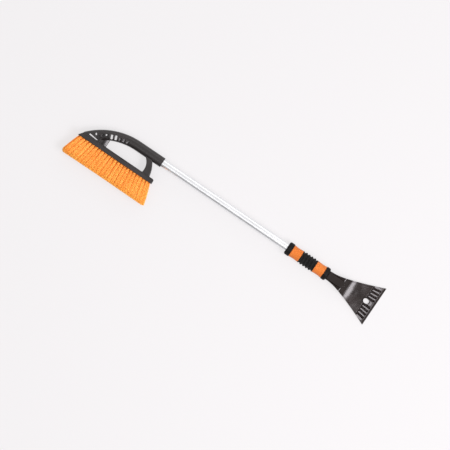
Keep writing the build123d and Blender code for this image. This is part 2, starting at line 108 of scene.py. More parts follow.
def settle(piece):
    """Put the piece's place into its mesh, so that its object sits at the origin, unturned."""
    select_only(piece)
    bpy.ops.object.transform_apply(location=True, rotation=True, scale=True)


def apply_all(piece):
    """Apply every modifier of the piece, from the first to the last."""
    select_only(piece)
    for modifier in list(piece.modifiers):
        bpy.ops.object.modifier_apply(modifier=modifier.name)


def triangles(piece):
    """Number of triangles that the piece's mesh makes."""
    return sum(len(face.vertices) - 2 for face in piece.data.polygons)


# %% [markdown]
# ## The camera
#
# The tool is shown straight from above, with its shaft running down to the right. The camera
# therefore looks along -Z and is turned about that line. A long lens keeps the perspective
# gentle, as in a catalogue picture.

# %% Camera
SHAFT_SLOPE = radians(34.2)  # how far the shaft runs below the picture's horizontal
VIEW_WIDTH = 1.1565  # what the picture spans, at the height of the shaft's axis
LENS, SENSOR = 200.0, 36.0  # both in mm
view_centre = Vector((0.0107, -0.0099, axis_point.z))  # just off the tool's middle

camera_data = bpy.data.cameras.new("camera")
camera_data.lens = LENS
camera_data.sensor_width = SENSOR
camera_data.clip_end = 50.0
camera = bpy.data.objects.new("camera", camera_data)
bpy.context.scene.collection.objects.link(camera)
camera.location = view_centre + Vector((0, 0, VIEW_WIDTH * LENS / SENSOR))
camera.rotation_euler = (0, 0, SHAFT_SLOPE)
bpy.context.scene.camera = camera
print("camera height", round(camera.location.z, 3))

# %% [markdown]
# ## The room
#
# Black plastic and bare metal show only what they reflect, so the room is drawn for them. It is
# a plain pale room that is dimmer along the horizon on the bristles' side, which gives the tube
# and the handle their darker lower edges. The camera itself sees an even pale backdrop, so the
# tool stands out the same from every side.

# %% Helpers for node trees


def node(tree, kind, place=(0, 0), **values):
    """Add a node of this kind to the tree and set its properties."""
    made = tree.nodes.new(kind)
    made.location = place
    for name, value in values.items():
        setattr(made, name, value)
    return made


def maths(tree, operation, first, second, place=(0, 0)):
    """A Math node. Each of its two inputs is a number or a socket to link from."""
    made = node(tree, "ShaderNodeMath", place, operation=operation)
    for socket, given in zip(made.inputs, (first, second)):
        if isinstance(given, (int, float)):
            socket.default_value = given
        else:
            tree.links.new(given, socket)
    return made.outputs["Value"]


def ramp(tree, value, low, high, place=(0, 0), least=0.0):
    """A smooth step of the value, from least at low to 1 at high."""
    made = node(tree, "ShaderNodeMapRange", place, interpolation_type="SMOOTHSTEP")
    made.inputs["From Min"].default_value = low
    made.inputs["From Max"].default_value = high
    made.inputs["To Min"].default_value = least
    tree.links.new(value, made.inputs["Value"])
    return made.outputs["Result"]


# %% [markdown]
# A world texture's Y runs from -1, the bristles' side, to 1, the handle's side. A smooth step
# on it dims the room towards the bristles. The Light Path node then tells the camera's own
# rays, which see the backdrop, from the rays that light and reflect, which see the room.

# %% Room and backdrop
ROOM_LIGHT = 0.85
ROOM_COLOUR = (1.0, 0.99, 0.995)
DIM_SIDE = 0.45  # share of the room's light that is left on the dim side
DIM_FROM, DIM_TO = -0.95, -0.35
BACKDROP = (0.905, 0.888, 0.896)

world = bpy.data.worlds.new("studio")
bpy.context.scene.world = world
world.use_nodes = True
sky = world.node_tree
sky_place = node(sky, "ShaderNodeTexCoord", (-1100, 0))
sky_split = node(sky, "ShaderNodeSeparateXYZ", (-900, 0))
sky.links.new(sky_place.outputs["Generated"], sky_split.inputs["Vector"])
dimmed = ramp(sky, sky_split.outputs["Y"], DIM_FROM, DIM_TO, (-700, 0), least=DIM_SIDE)
room_level = maths(sky, "MULTIPLY", dimmed, ROOM_LIGHT, (-300, 0))
room = sky.nodes["Background"]
room.inputs["Color"].default_value = (*ROOM_COLOUR, 1.0)
sky.links.new(room_level, room.inputs["Strength"])
backdrop = node(sky, "ShaderNodeBackground", (0, -200))
backdrop.inputs["Color"].default_value = (*BACKDROP, 1.0)
eye = node(sky, "ShaderNodeLightPath", (0, 300))
seen = node(sky, "ShaderNodeMixShader", (300, 0))
sky.links.new(eye.outputs["Is Camera Ray"], seen.inputs["Fac"])
sky.links.new(room.outputs["Background"], seen.inputs[1])
sky.links.new(backdrop.outputs["Background"], seen.inputs[2])
sky.links.new(seen.outputs["Shader"], sky.nodes["World Output"].inputs["Surface"])
print("room light from", round(ROOM_LIGHT * DIM_SIDE, 3), "to", ROOM_LIGHT)

# %% [markdown]
# ## The lights
#
# Large soft lights shine on the tool. A long one on each side of the shaft draws the streaks
# along the handle. Beyond the scraper, a bright light inside a broad dimmer one fills the bend
# of the blade with a highlight that fades at its sides, and lights the tops of the teeth. The
# Standard view shows the colours as they were chosen, with no film curve over them.

# %% The lights


def softbox(name, direction, distance, size, radiance, tint=(1, 1, 1)):
    """Add a rectangular light of this radiance that shines at the tool from this direction."""
    data = bpy.data.lights.new(name, "AREA")
    data.shape = "RECTANGLE"
    data.size, data.size_y = size
    data.energy = radiance * pi * size[0] * size[1]
    data.color = tint
    lamp = bpy.data.objects.new(name, data)
    bpy.context.scene.collection.objects.link(lamp)
    towards = Vector(direction).normalized()
    level = Vector((0, 0, 1)).cross(towards).normalized()
    axes = Matrix((level, towards.cross(level), towards)).transposed()
    lamp.matrix_world = Matrix.Translation(axis_point + towards * distance) @ axes.to_4x4()


SIDE_LIGHT_LENGTH = 4.0
LIGHT_DISTANCE = 2.8
BRIGHT_DISTANCE = 2.7  # just in front of the wide one

softbox("far_side_softbox", (0.0, 0.88, 0.48), LIGHT_DISTANCE, (SIDE_LIGHT_LENGTH, 0.7), 1.3)
softbox("near_side_softbox", (0.0, -0.42, 0.9), LIGHT_DISTANCE, (SIDE_LIGHT_LENGTH, 0.45), 1.2)
softbox("blade_wide_softbox", (0.6, 0.0, 0.8), LIGHT_DISTANCE, (1.8, 1.5), 3.4, (1.0, 0.97, 1.0))
softbox("blade_bright_softbox", (0.565, 0.0, 0.825), BRIGHT_DISTANCE, (1.2, 0.8), 13.5, (1.0, 0.95, 1.0))
bpy.context.scene.view_settings.view_transform = "Standard"

# %% [markdown]
# ## Effects that several finishes share
#
# Each effect is a node group: built once, with named inputs, and placed in every material that
# shows it. A group hands out only masks and normals. The shader itself stays in the
# material. Patterns read Object coordinates, and because every piece sits at the origin these
# are the same metres as the model's own, so a grain has one true size on every piece.

# %% Building node groups
IN, OUT = "INPUT", "OUTPUT"
SOCKETS = {"value": "NodeSocketFloat", "normal": "NodeSocketVector"}


def new_group(name, inputs, outputs):
    """An empty shader group with named sockets; inputs also give their usual value."""
    tree = bpy.data.node_groups.new(name, "ShaderNodeTree")
    for label, kind, usual in inputs:
        socket = tree.interface.new_socket(label, in_out=IN, socket_type=SOCKETS[kind])
        socket.default_value = usual
    for label, kind in outputs:
        tree.interface.new_socket(label, in_out=OUT, socket_type=SOCKETS[kind])
    entry = node(tree, "NodeGroupInput", (-900, 0))
    leave = node(tree, "NodeGroupOutput", (900, 0))
    return tree, entry.outputs, leave.inputs


def noise(tree, scale, detail=3.0, stretch=(1, 1, 1), place=(-500, 0)):
    """Noise on Object coordinates, in features per metre, stretched along the axes."""
    where = node(tree, "ShaderNodeTexCoord", (place[0] - 400, place[1]))
    mapping = node(tree, "ShaderNodeMapping", (place[0] - 200, place[1]))
    mapping.inputs["Scale"].default_value = stretch
    made = node(tree, "ShaderNodeTexNoise", place)
    made.inputs["Detail"].default_value = detail
    tree.links.new(where.outputs["Object"], mapping.inputs["Vector"])
    tree.links.new(mapping.outputs["Vector"], made.inputs["Vector"])
    if isinstance(scale, (int, float)):
        made.inputs["Scale"].default_value = scale
    else:
        tree.links.new(scale, made.inputs["Scale"])
    return made.outputs["Fac"]


# %% [markdown]
# ### Moulded grain
#
# Plastic comes out of its mould with rounded corners and a very fine spark-eroded grain. The
# Bevel node rounds the corners of the shading, and a Bump node adds the grain on top. Where the
# rounded normal has turned away from the face's own, there is a corner, so the same node also
# gives the mask for rubbed edges.

# %% Moulded grain
grain_group, given, handed = new_group(
    "moulded grain",
    [("Corner", "value", 0.6 * MM), ("Grain", "value", 1800.0), ("Depth", "value", 0.2)],
    [("Normal", "normal"), ("Edge", "value")],
)
GRAIN_HEIGHT = 0.05 * MM
EDGE_FROM, EDGE_TO = 0.02, 0.25  # how far the rounded normal turns at a corner

rounded = node(grain_group, "ShaderNodeBevel", (-600, -200), samples=6)
grain_group.links.new(given["Corner"], rounded.inputs["Radius"])
grain_bump = node(grain_group, "ShaderNodeBump", (300, 0))
grain_bump.inputs["Distance"].default_value = GRAIN_HEIGHT
grain_group.links.new(noise(grain_group, given["Grain"], 2.0), grain_bump.inputs["Height"])
grain_group.links.new(given["Depth"], grain_bump.inputs["Strength"])
grain_group.links.new(rounded.outputs["Normal"], grain_bump.inputs["Normal"])
grain_group.links.new(grain_bump.outputs["Normal"], handed["Normal"])
flat_normal = node(grain_group, "ShaderNodeNewGeometry", (-600, -450))
bend = node(grain_group, "ShaderNodeVectorMath", (-300, -350), operation="DOT_PRODUCT")
grain_group.links.new(rounded.outputs["Normal"], bend.inputs[0])
grain_group.links.new(flat_normal.outputs["True Normal"], bend.inputs[1])
turned = maths(grain_group, "SUBTRACT", 1.0, bend.outputs["Value"], (-100, -350))
grain_group.links.new(ramp(grain_group, turned, EDGE_FROM, EDGE_TO, (100, -350)), handed["Edge"])
print(grain_group.name, "has", len(grain_group.nodes), "nodes")

# %% [markdown]
# ### Handling marks
#
# A tool that lives in a car boot carries hairline scratches, mostly across the way it is
# pushed, and cloudy patches where hands and wet gloves have been. The scratches are thin noise
# stretched along one direction and cut off high, so only the crests remain.

# %% Handling marks
marks_group, given, handed = new_group(
    "handling marks",
    [("Amount", "value", 1.0)],
    [("Scratches", "value"), ("Smudges", "value")],
)
ALONG, ACROSS, ALL_WAYS = (0.9, 12, 12), (14, 1.2, 3), (1, 1, 1)  # how each noise is stretched
CREST = 0.66  # the noise shows as a scratch only above this

along_noise = noise(marks_group, 260.0, 3.0, ALONG, (-500, 200))
hairlines = ramp(marks_group, along_noise, CREST, 0.8, (-200, 200))
across_noise = noise(marks_group, 200.0, 3.0, ACROSS, (-500, -100))
crossing = ramp(marks_group, across_noise, CREST, 0.82, (-200, -100))
both = maths(marks_group, "MAXIMUM", hairlines, crossing, (0, 100))
scratches = maths(marks_group, "MULTIPLY", both, given["Amount"], (200, 100))
marks_group.links.new(scratches, handed["Scratches"])

cloud_noise = noise(marks_group, 22.0, 3.0, ALL_WAYS, (-500, -400))
patches = ramp(marks_group, cloud_noise, 0.35, 0.7, (-200, -400))
smudges = maths(marks_group, "MULTIPLY", patches, given["Amount"], (200, -400))
marks_group.links.new(smudges, handed["Smudges"])
print(marks_group.name, "has", len(marks_group.nodes), "nodes")

# %% [markdown]
# ### Foam cells
#
# Closed-cell foam is cut or moulded through thousands of small bubbles. Their open halves make
# a pitted skin: a Voronoi pattern, deep at each cell's middle, with a softer waviness below it.

# %% Foam cells
foam_group, given, handed = new_group(
    "foam cells",
    [("Cells", "value", 1400.0), ("Depth", "value", 0.5)],
    [("Normal", "normal"), ("Pits", "value")],
)
PIT_DEPTH = 0.22 * MM
WAVES_PER_METRE = 160.0
WAVE_SHARE = 2.0  # height of the waves, next to the pits

foam_place = node(foam_group, "ShaderNodeTexCoord", (-900, -300))
bubbles = node(foam_group, "ShaderNodeTexVoronoi", (-500, -300), feature="SMOOTH_F1")
foam_group.links.new(foam_place.outputs["Object"], bubbles.inputs["Vector"])
foam_group.links.new(given["Cells"], bubbles.inputs["Scale"])
pits = ramp(foam_group, bubbles.outputs["Distance"], 0.1, 0.55, (-250, -300))
wavy = noise(foam_group, WAVES_PER_METRE, 3.0, ALL_WAYS, (-500, 100))
waves = maths(foam_group, "MULTIPLY", wavy, WAVE_SHARE, (-250, 100))
skin = maths(foam_group, "ADD", pits, waves, (0, 0))
foam_bump = node(foam_group, "ShaderNodeBump", (300, 0))
foam_bump.inputs["Distance"].default_value = PIT_DEPTH
foam_group.links.new(skin, foam_bump.inputs["Height"])
foam_group.links.new(given["Depth"], foam_bump.inputs["Strength"])
foam_group.links.new(foam_bump.outputs["Normal"], handed["Normal"])
foam_group.links.new(pits, handed["Pits"])
print(foam_group.name, "has", len(foam_group.nodes), "nodes")

# %% [markdown]
# ## The finishes
#
# A helper starts each material with its Principled shader and sets the numbers that are the
# same all over, straight on the shader's own sockets. What changes over the surface is linked
# in afterwards.

# %% Starting a material


def start_material(name, **sockets):
    """A material with a Principled shader whose named sockets have these values."""
    made = bpy.data.materials.new(name)
    made.use_nodes = True
    shader = made.node_tree.nodes["Principled BSDF"]
    for label, value in sockets.items():
        shader.inputs[label.replace("_", " ")].default_value = value
    return made, made.node_tree, shader.inputs


def place_group(tree, group, place=(-600, 0), **values):
    """Put a shared effect into a material, with its own values."""
    made = node(tree, "ShaderNodeGroup", place, node_tree=group)
    for label, value in values.items():
        made.inputs[label].default_value = value
    return made.outputs


def mix(tree, factor, first, second, place=(-300, 0)):
    """Mix two colours. Each is a tuple or a socket to link from."""
    made = node(tree, "ShaderNodeMix", place, data_type="RGBA")
    tree.links.new(factor, made.inputs["Factor"])
    for socket, given in zip((made.inputs[6], made.inputs[7]), (first, second)):
        if isinstance(given, tuple):
            socket.default_value = (*given, 1.0)
        else:
            tree.links.new(given, socket)
    return made.outputs[2]


def spread(tree, factor, low, high, place=(-300, -300)):
    """A value that runs from low to high as the factor runs from 0 to 1."""
    made = node(tree, "ShaderNodeMapRange", place)
    made.inputs["To Min"].default_value = low
    made.inputs["To Max"].default_value = high
    tree.links.new(factor, made.inputs["Value"])
    return made.outputs["Result"]


# %% [markdown]
# ### Black plastics
#
# Three black plastics meet on the tool. The block is a satin polypropylene, the collars are
# duller and more textured, and the scraper is hard and glossy. They differ only in a few
# numbers, so one function makes all three: black with a cloudy tint, rubbed grey at the edges
# and in the scratches, and glossier where hands have polished it.

# %% Black plastics
CLOUD_LIFT = 1.5  # how much lighter the black is where it is smudged
SCRATCH_SHARE = 0.14  # how far a scratch goes towards the rubbed grey


def black_plastic(name, tint, rubbed, index, gloss, grain, depth, corner, wear):
    """A moulded black plastic. gloss is its roughness from polished to dull places."""
    made, tree, sockets = start_material(name, IOR=index)
    moulded = place_group(tree, grain_group, (-900, -200), Corner=corner, Grain=grain, Depth=depth)
    marks = place_group(tree, marks_group, (-900, 200), Amount=wear)
    clouds = mix(tree, marks["Smudges"], tint, tuple(value * CLOUD_LIFT for value in tint), (-600, 300))
    worn = maths(tree, "MULTIPLY", moulded["Edge"], marks["Smudges"], (-600, -100))
    scratched = maths(tree, "MULTIPLY", marks["Scratches"], SCRATCH_SHARE, (-600, 50))
    scuffed = maths(tree, "MAXIMUM", scratched, worn, (-450, 0))
    tree.links.new(mix(tree, scuffed, clouds, rubbed, (-300, 200)), sockets["Base Color"])
    dull = maths(tree, "MAXIMUM", marks["Smudges"], marks["Scratches"], (-600, -350))
    tree.links.new(spread(tree, dull, *gloss), sockets["Roughness"])
    tree.links.new(moulded["Normal"], sockets["Normal"])
    return made


block_plastic = black_plastic(
    "block_plastic",
    tint=(0.0145, 0.0115, 0.0112),
    rubbed=(0.07, 0.066, 0.064),
    index=1.5,
    gloss=(0.3, 0.42),
    grain=1500.0,
    depth=0.5,
    corner=0.8 * MM,
    wear=0.7,
)
collar_plastic = black_plastic(
    "collar_plastic",
    tint=(0.0038, 0.0032, 0.0032),
    rubbed=(0.028, 0.027, 0.027),
    index=1.24,
    gloss=(0.5, 0.65),
    grain=1100.0,
    depth=0.8,
    corner=0.6 * MM,
    wear=0.7,
)
blade_plastic = black_plastic(
    "blade_plastic",
    tint=(0.0085, 0.005, 0.0042),
    rubbed=(0.08, 0.075, 0.07),
    index=1.4,
    gloss=(0.12, 0.2),
    grain=1800.0,
    depth=0.12,
    corner=0.5 * MM,
    wear=1.0,
)
print("black plastics", [made.name for made in (block_plastic, collar_plastic, blade_plastic)])

# %% [markdown]
# ### The blade's own history, and painted shade in its grooves
#
# A large thin moulding cools unevenly, so the scraper's face has slow hollows that bend its
# highlight. Ice has rubbed the last part, with the teeth, dull. Between the teeth the grooves
# lose most of their shine, as painted shade for the sky that their walls hide.

# %% Hollows in the blade
HOLLOW_DEPTH = 1.2 * MM
HOLLOWS_PER_METRE = 34.0

tree = blade_plastic.node_tree
sockets = tree.nodes["Principled BSDF"].inputs
moulded_normal = sockets["Normal"].links[0].from_socket
hollows = node(tree, "ShaderNodeBump", (0, -500))
hollows.inputs["Distance"].default_value = HOLLOW_DEPTH
slow = noise(tree, HOLLOWS_PER_METRE, 1.0, ALL_WAYS, (-500, -700))
tree.links.new(slow, hollows.inputs["Height"])
tree.links.new(moulded_normal, hollows.inputs["Normal"])
tree.links.new(hollows.outputs["Normal"], sockets["Normal"])
print("hollows about", round(1 / HOLLOWS_PER_METRE / MM), "mm across")

# %% [markdown]
# The rubbed part is told by its place along X, measured back from the blade's edge. A groove is
# told by the Ambient Occlusion node, which counts how much of a point's sky its neighbours hide.

# %% Rubbed teeth and painted shade in the grooves
TOOTH_ZONE = 34 * MM  # how far back from the edge the face is rubbed dull
ZONE_FADE = 3 * MM
RUBBED_ROUGHNESS = 0.3
GROOVE_REACH = 4 * MM
HIDDEN, OPEN = 0.6, 0.97  # how much sky a groove's floor and a plain face see
GROOVE_SHINE, FACE_SHINE = 0.04, 0.5

where = node(tree, "ShaderNodeTexCoord", (-900, -900))
where_split = node(tree, "ShaderNodeSeparateXYZ", (-700, -900))
tree.links.new(where.outputs["Object"], where_split.inputs["Vector"])
zone_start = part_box("scraper")[1].x - TOOTH_ZONE
in_zone = ramp(tree, where_split.outputs["X"], zone_start, zone_start + ZONE_FADE, (-500, -900))
rubbed_dull = maths(tree, "MULTIPLY", in_zone, RUBBED_ROUGHNESS, (-300, -900))
moulded_dull = sockets["Roughness"].links[0].from_socket
tree.links.new(maths(tree, "MAXIMUM", moulded_dull, rubbed_dull, (-100, -800)), sockets["Roughness"])

# Painted shade: the Ambient Occlusion node takes most of the shine out of the grooves.
groove_shade = node(tree, "ShaderNodeAmbientOcclusion", (-700, -1100), samples=8)
groove_shade.inputs["Distance"].default_value = GROOVE_REACH
open_face = ramp(tree, groove_shade.outputs["AO"], HIDDEN, OPEN, (-500, -1100))
shine = spread(tree, open_face, GROOVE_SHINE, FACE_SHINE, (-300, -1100))
tree.links.new(shine, sockets["Specular IOR Level"])
print("rubbed from x", round(zone_start, 4))

# %% [markdown]
# ### Drawn aluminium
#
# The tube is pulled through a ring, which leaves hair-fine lines along its length. They are
# noise that is drawn out along X. The lines and faint finger marks change the roughness,
# and the metal keeps a slightly cool white.

# %% Drawn aluminium
LINES_PER_METRE = 900.0
DRAWN_OUT = (0.012, 1, 1)  # nearly no change along X
LINE_DEPTH = 0.02 * MM

tube_aluminium, tree, sockets = start_material("tube_aluminium", Metallic=1.0)
drawn = noise(tree, LINES_PER_METRE, 3.0, DRAWN_OUT, (-900, 0))
marks = place_group(tree, marks_group, (-900, 300), Amount=0.8)
bright = mix(tree, drawn, (0.80, 0.81, 0.83), (0.91, 0.915, 0.925), (-500, 300))
scratched = mix(tree, marks["Scratches"], bright, (0.62, 0.63, 0.65), (-250, 300))
tree.links.new(scratched, sockets["Base Color"])
hazy = maths(tree, "ADD", maths(tree, "MULTIPLY", drawn, 0.5, (-700, -100)), marks["Smudges"], (-500, -100))
tree.links.new(spread(tree, hazy, 0.22, 0.34, (-250, -50)), sockets["Roughness"])
tube_bump = node(tree, "ShaderNodeBump", (-250, -300))
tube_bump.inputs["Distance"].default_value = LINE_DEPTH
tube_bump.inputs["Strength"].default_value = 0.5
tree.links.new(drawn, tube_bump.inputs["Height"])
tree.links.new(tube_bump.outputs["Normal"], sockets["Normal"])
print(tube_aluminium.name, "has", len(tree.nodes), "nodes")

# %% [markdown]
# ### Zinc on steel
#
# The screws and the wire anchors are steel with a thin zinc coat, which looks grey and slightly
# mottled rather than polished.

# %% Zinc on steel
MOTTLE_PER_METRE = 1400.0
MOTTLE_DEPTH = 0.03 * MM

zinc_steel, tree, sockets = start_material("zinc_steel", Metallic=1.0)
mottle = noise(tree, MOTTLE_PER_METRE, 4.0, ALL_WAYS, (-700, 0))
tree.links.new(mix(tree, mottle, (0.42, 0.42, 0.41), (0.66, 0.66, 0.64)), sockets["Base Color"])
tree.links.new(spread(tree, mottle, 0.3, 0.5), sockets["Roughness"])
zinc_bump = node(tree, "ShaderNodeBump", (-300, -500))
zinc_bump.inputs["Distance"].default_value = MOTTLE_DEPTH
tree.links.new(mottle, zinc_bump.inputs["Height"])
tree.links.new(zinc_bump.outputs["Normal"], sockets["Normal"])
print(zinc_steel.name, "has", len(tree.nodes), "nodes")

# %% [markdown]
# ### Foam
#
# The grip's foam is matte, with painted shade that makes its pits a little darker than the skin
# between them, and with the dull bloom that such foam gets from handling.

# %% Foam


def foam(name, skin_colour, pit_shade_colour, bloom_colour, bloom, shine):
    """Closed-cell foam with painted shade in its pits and a patchy bloom on its skin."""
    made, tree, sockets = start_material(name, Specular_IOR_Level=shine, Sheen_Weight=0.5 * shine)
    cells = place_group(tree, foam_group, (-900, 0))
    marks = place_group(tree, marks_group, (-900, 300), Amount=bloom)
    # Painted shade: the pits, the low places of the skin, are coloured darker.
    pitted = mix(tree, cells["Pits"], pit_shade_colour, skin_colour, (-550, 200))
    tree.links.new(mix(tree, marks["Smudges"], pitted, bloom_colour), sockets["Base Color"])
    tree.links.new(spread(tree, cells["Pits"], 0.85, 0.68), sockets["Roughness"])
    tree.links.new(cells["Normal"], sockets["Normal"])
    return made


orange_foam = foam(
    "orange_foam",
    skin_colour=(0.575, 0.152, 0.018),
    pit_shade_colour=(0.47, 0.1, 0.0105),
    bloom_colour=(0.56, 0.176, 0.034),
    bloom=0.5,
    shine=0.25,
)
black_foam = foam(
    "black_foam",
    skin_colour=(0.006, 0.0057, 0.0057),
    pit_shade_colour=(0.0032, 0.0032, 0.0032),
    bloom_colour=(0.012, 0.0115, 0.0115),
    bloom=0.5,
    shine=0.12,
)
print("foams", [made.name for made in (orange_foam, black_foam)])

# %% [markdown]
# ### Bristle filament
#
# The filaments are orange, and they are given a faint glow in their own colour: painted light
# that lifts the shade between the tufts. The mesh of the bristles carries two numbers for each
# point: how far it is along its filament, and a shade that is the filament's own. The finish
# reads both.

# %% Bristle filament
# Painted light: Emission in the filament's own colour makes the bristles glow and lifts their shade.
filament, tree, sockets = start_material("filament", Specular_IOR_Level=0.25, Emission_Strength=0.15)
along = node(tree, "ShaderNodeAttribute", (-900, 200), attribute_name="along")
shade = node(tree, "ShaderNodeAttribute", (-900, -100), attribute_name="shade")
# Painted shade: the colour is darker and redder towards the root, where the tufts shade each other.
lengthwise = mix(tree, along.outputs["Fac"], (0.94, 0.425, 0.088), (0.92, 0.485, 0.10), (-600, 200))
varied = mix(tree, shade.outputs["Fac"], (0.92, 0.30, 0.04), lengthwise, (-300, 100))
tree.links.new(varied, sockets["Base Color"])
tree.links.new(varied, sockets["Emission Color"])
tree.links.new(spread(tree, shade.outputs["Fac"], 0.5, 0.35), sockets["Roughness"])
print(filament.name, "has", len(tree.nodes), "nodes")

# %% [markdown]
# ## Finishing the hard pieces
#
# The block, the tube, the collars, the scraper and the screws have their true shape in CAD.
# Each keeps its own node and only takes its finish.

# %% Hard pieces
HARD_FINISHES = {
    "brush_block": block_plastic,
    "shaft_tube": tube_aluminium,
    "front_collar": collar_plastic,
    "rear_collar": collar_plastic,
    "scraper": blade_plastic,
    "socket_screw": zinc_steel,
    "scraper_screw": zinc_steel,
    "tuft_staples": zinc_steel,
}


def dress(piece, finish):
    """Give a piece this one finish all over."""
    piece.data.materials.clear()
    piece.data.materials.append(finish)


for name, finish in HARD_FINISHES.items():
    dress(frame["nodes"][name], finish)
print(len(HARD_FINISHES), "hard pieces dressed")

# %% [markdown]
# ## The grip's foam
#
# A foam ring is turned: its outline is drawn once, as a chain of points from one face over the
# outside to the other face, and spun about the shaft's axis. Drawing it with extruded points
# and the Spin tool is how one would do it by hand. The foam is moulded slack, so a gentle
# displacement then takes away the perfect roundness.

# %% Turning a ring
TURN_STEPS = 128
SLACK_SCALE = 12 * MM
SHARPEST_SMOOTH = radians(50)
BORE_GAP = 0.3 * MM


def turn_ring(name, outline, unevenness):
    """Spin an outline, given as (x, radius) points, about the shaft's axis into a closed ring."""
    bpy.ops.object.select_all(action="DESELECT")
    bpy.ops.mesh.primitive_plane_add(size=MM)
    piece = bpy.context.object
    piece.name = name
    bpy.ops.object.mode_set(mode="EDIT")
    bpy.ops.mesh.select_all(action="SELECT")
    bpy.ops.mesh.merge(type="CENTER")
    corners = [Vector((x, axis_point.y, axis_point.z + radius)) for x, radius in outline]
    bpy.ops.transform.translate(value=corners[0])
    for start, end in zip(corners, corners[1:]):
        bpy.ops.mesh.extrude_region_move(TRANSFORM_OT_translate={"value": end - start})
    bpy.ops.mesh.select_all(action="SELECT")
    bpy.ops.mesh.spin(steps=TURN_STEPS, angle=tau, center=axis_point, axis=(1, 0, 0))
    bpy.ops.mesh.select_all(action="SELECT")
    bpy.ops.mesh.remove_doubles(threshold=1e-6)
    bpy.ops.mesh.normals_make_consistent(inside=False)
    bpy.ops.object.mode_set(mode="OBJECT")
    settle(piece)
    texture = bpy.data.textures.new(name + "_unevenness", "CLOUDS")
    texture.noise_scale = SLACK_SCALE
    texture.noise_depth = 2

    slack = piece.modifiers.new("slack", "DISPLACE")
    slack.texture = texture
    slack.texture_coords = "LOCAL"
    slack.strength = unevenness
    slack.mid_level = 0.5
    apply_all(piece)
    select_only(piece)
    bpy.ops.object.shade_smooth_by_angle(angle=SHARPEST_SMOOTH)
    print(name, triangles(piece), "triangles")
    return piece


def ring_outline(node_name, profile, points):
    """Outline of a ring in the place of a CAD node: its faces, its bore and profile(t) outside."""
    low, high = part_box(node_name)
    length = high.x - low.x
    inner = tube_radius + BORE_GAP
    outside = [(low.x + length * i / points, profile(i / points)) for i in range(points + 1)]
    return [(low.x, inner), *outside, (high.x, inner), (low.x, inner)]


# %% [markdown]
# ### The two orange bands
#
# A band is a little narrower at its middle, and its ends are rounded where they meet their
# black neighbours. Its outside is one formula: the full radius, less a waist that is deepest
# halfway, less a round over the last millimetres.

# %% Orange bands
BAND_POINTS = 40
BAND_SLACK = 0.35 * MM
WAIST = 1.0 * MM
END_ROUND = 1.6 * MM


def end_drop(reach, round_off):
    """How far a rounded end falls away at this distance in from it."""
    if reach >= round_off:
        return 0.0
    return round_off - (round_off ** 2 - (round_off - reach) ** 2) ** 0.5


def make_band(name, node_name):
    """One orange foam band in the place of its CAD node."""
    low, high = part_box(node_name)
    length, radius = high.x - low.x, (high.y - low.y) / 2

    def profile(t):
        return radius - WAIST * sin(pi * t) - end_drop(min(t, 1 - t) * length, END_ROUND)

    ring = turn_ring(name, ring_outline(node_name, profile, BAND_POINTS), BAND_SLACK)
    dress(ring, orange_foam)
    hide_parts(node_name)
    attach(ring, "root")


make_band("front_band_foam", "front_band")
make_band("rear_band_foam", "rear_band")

# %% [markdown]
# ### The ribbed sleeve
#
# Four round ribs stand on the black sleeve, with a plain land at each end. A rib is a bump of
# a cosine raised to a power, which meets the sleeve with almost no corner, as moulded foam does.

# %% Ribbed sleeve
SLEEVE_POINTS = 150
SLEEVE_SLACK = 0.3 * MM
SLEEVE_ROUND = 0.8 * MM
RIB_COUNT = 4
RIB_PITCH = 8.6 * MM
RIB_HALF_WIDTH = 4.0 * MM
RIB_POWER, LAND_POWER = 1.3, 4  # how squarely ribs and lands stand
SLEEVE_DIP = 2.9 * MM
LAND_LENGTH = 3.4 * MM
LAND_DROP = 0.9 * MM


def make_sleeve():
    """The ribbed black foam sleeve in the place of its CAD node."""
    low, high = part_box("ribbed_sleeve")
    length, radius = high.x - low.x, (high.y - low.y) / 2
    middles = [length / 2 + (i - (RIB_COUNT - 1) / 2) * RIB_PITCH for i in range(RIB_COUNT)]

    def profile(t):
        at = t * length
        reach = min(t, 1 - t) * length
        aside = min(min(abs(at - middle) for middle in middles) / RIB_HALF_WIDTH, 1)
        rise = cos(pi / 2 * aside) ** RIB_POWER
        land = 1 - min(min(at, length - at) / LAND_LENGTH, 1) ** LAND_POWER
        height = max(rise * SLEEVE_DIP, land * (SLEEVE_DIP - LAND_DROP))
        return radius - SLEEVE_DIP + height - end_drop(reach, SLEEVE_ROUND)

    outline = ring_outline("ribbed_sleeve", profile, SLEEVE_POINTS)
    ring = turn_ring("ribbed_sleeve_foam", outline, SLEEVE_SLACK)
    dress(ring, black_foam)
    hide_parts("ribbed_sleeve")
    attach(ring, "root")


make_sleeve()

# %% [markdown]
# ## The bristles
#
# Ninety tufts stand in four rows of drilled holes, and each is a bundle of filaments folded
# over a staple. The CAD solids say where each tuft is rooted and where it ends. A filament is
# modelled once, as a thin four-sided rod, and then copied along its own path. Smooth shading
# makes the four sides look round, which keeps ten thousand filaments light. The four rows are
# four pieces, as on the workbench.

# %% One filament
FILAMENT_RADIUS = 0.24 * MM
FILAMENT_SPANS = 4
EDGES_ONLY = (False, True, False)  # Edit Mode selects edges, not points or faces


